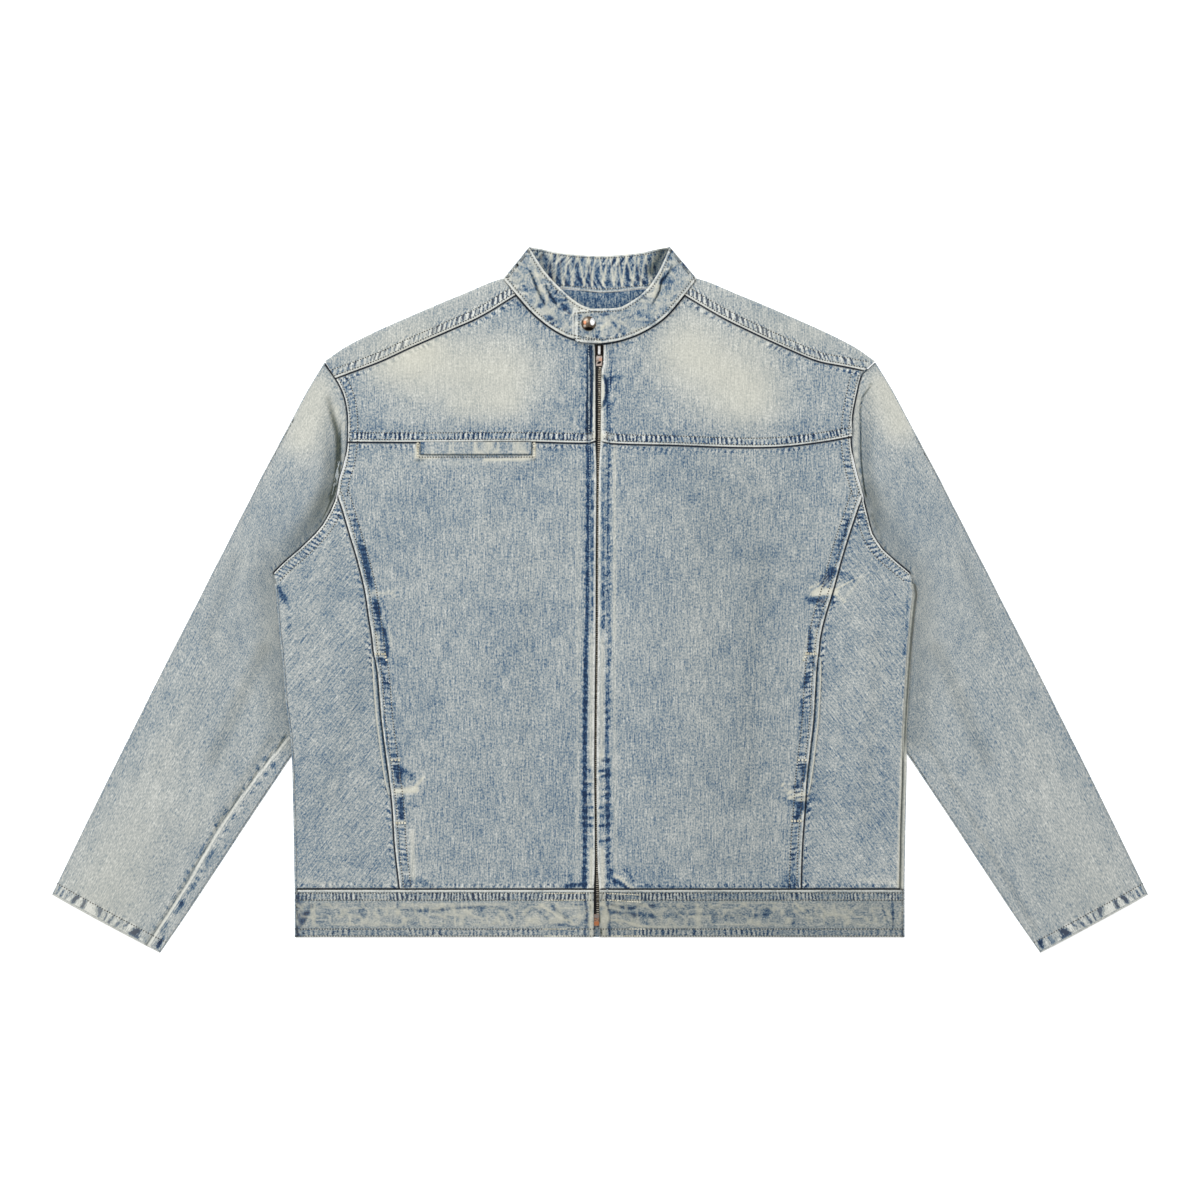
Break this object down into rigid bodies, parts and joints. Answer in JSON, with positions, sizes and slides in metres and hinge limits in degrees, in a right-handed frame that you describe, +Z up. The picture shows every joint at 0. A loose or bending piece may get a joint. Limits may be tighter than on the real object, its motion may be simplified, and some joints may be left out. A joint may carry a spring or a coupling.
{
  "type": "denim jacket",
  "caption": "Boxy washed denim jacket laid flat and closed: centre zip, stand collar with a snapped tab, front yokes, a welt pocket, curved front seams and a plain hem band.",
  "frame": {"origin": "under the middle of the jacket's bounding box, on the surface that it lies on", "axes": "+X to the wearer's left, across both sleeves; +Y from the hem to the collar; +Z up, from the back of the jacket to its front"},
  "size_m": [1.098, 0.707, 0.0154],
  "materials": {
    "denim_body": "stone-washed blue denim, yellowed where it has faded",
    "denim_sleeve": "stone-washed denim, greyer and paler towards the cuffs",
    "denim_trim": "washed denim with white worn edges",
    "denim_back": "stone-washed blue denim",
    "zip_tape": "woven tape",
    "zip_metal": "antique dark metal with copper showing on the worn edges",
    "snap_metal": "polished nickel dome"
  },
  "bodies": {
    "jacket": {"back_panel": "denim_back", "shoulder_strip_right": "denim_body", "shoulder_strip_left": "denim_body", "front_yoke_right": "denim_body", "front_yoke_left": "denim_body", "front_centre_right": "denim_body", "front_centre_left": "denim_body", "side_front_right": "denim_body", "side_front_left": "denim_body", "pocket_facing_right": "denim_trim", "pocket_facing_left": "denim_trim", "chest_welt": "denim_trim", "sleeve_right": "denim_sleeve", "sleeve_left": "denim_sleeve", "collar": "denim_trim", "hem_band": "denim_trim", "zip_tape_right": "zip_tape", "zip_tape_left": "zip_tape", "zip_chain": "zip_metal", "zip_slider": "zip_metal", "zip_box": "zip_metal", "snap_cap": "snap_metal"},
    "pull_tab": {"zip_pull": "zip_metal"}
  },
  "joints": [
    {"name": "pull_tab_hinge", "type": "hinge", "parent": "jacket", "child": "pull_tab", "pos_m": [-0.0008, 0.25, 0.0058], "axis": [-1, 0, 0], "range_deg": [0, 130]}
  ]
}
